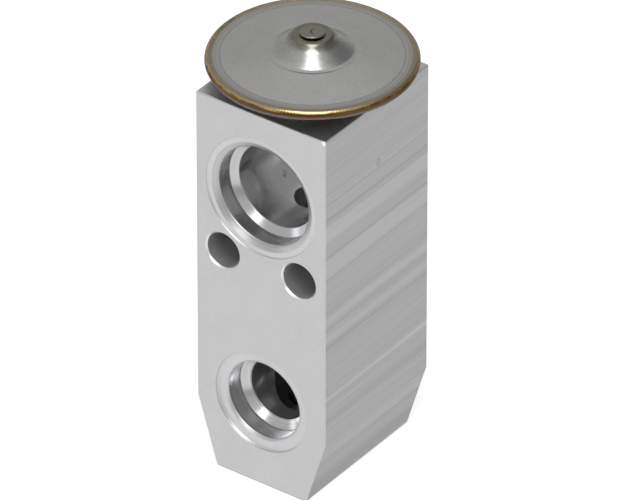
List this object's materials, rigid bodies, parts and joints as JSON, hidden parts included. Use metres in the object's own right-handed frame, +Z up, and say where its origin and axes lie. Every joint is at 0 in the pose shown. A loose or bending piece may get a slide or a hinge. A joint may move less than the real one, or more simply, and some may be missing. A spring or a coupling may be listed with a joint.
{
  "type": "thermostatic expansion valve",
  "caption": "Block-type expansion valve with a tapered aluminium block, stepped pipe ports, bolt holes and a round welded diaphragm head.",
  "frame": {"origin": "middle of the block's bottom face", "axes": "+Z up the valve's axis to the diaphragm head, -Y out of the face with the liquid inlet port"},
  "size_m": [0.0378, 0.0378, 0.0878],
  "materials": {
    "block_aluminium": "milled front and back, extruded sides",
    "cover_steel": "pressed stainless sheet, satin",
    "weld_tint": "weld bead with straw and brown heat tint",
    "plug_steel": "welded plug, slightly heat-stained",
    "turned_steel": "turned",
    "diaphragm_steel": "rolled foil, bright",
    "stopper_aluminium": "turned",
    "rod_steel": "ground",
    "ball_steel": "polished",
    "spring_steel": "drawn wire and strip",
    "seal_rubber": "matt"
  },
  "bodies": {
    "valve_block": {"valve_body": "block_aluminium", "upper_cover": "cover_steel", "lower_cover": "cover_steel", "rim_weld": "weld_tint", "charge_plug": "plug_steel", "head_neck": "turned_steel", "diaphragm": "diaphragm_steel", "head_seal_ring": "seal_rubber", "rod_seal_ring": "seal_rubber", "seal_retainer": "spring_steel", "valve_spring": "spring_steel"},
    "valve_stem": {"diaphragm_stopper": "stopper_aluminium", "operating_rod": "rod_steel", "valve_ball": "ball_steel", "ball_carrier": "turned_steel", "damping_spring": "spring_steel"},
    "screw_ring": {"screw_seal_ring": "seal_rubber"},
    "adjuster": {"adjusting_screw": "turned_steel"}
  },
  "joints": [
    {"name": "valve_lift", "type": "slide", "parent": "valve_block", "child": "valve_stem", "axis": [0, 0, -1], "range_m": [0, 0.0008], "stiffness_N_per_m": 100, "springref_m": -0.005, "deforming": ["valve_spring"]},
    {"name": "adjuster_travel", "type": "slide", "parent": "valve_block", "child": "screw_ring", "axis": [0, 0, 1], "range_m": [-0.0005, 0.0005]},
    {"name": "adjuster_turn", "type": "hinge", "parent": "screw_ring", "child": "adjuster", "pos_m": [0, 0, 0.0036], "axis": [0, 0, 1], "range_deg": [-180, 180]}
  ],
  "couplings": [
    {"joint": "adjuster_turn", "follows": "adjuster_travel", "rad_per_m": 6282.6}
  ]
}
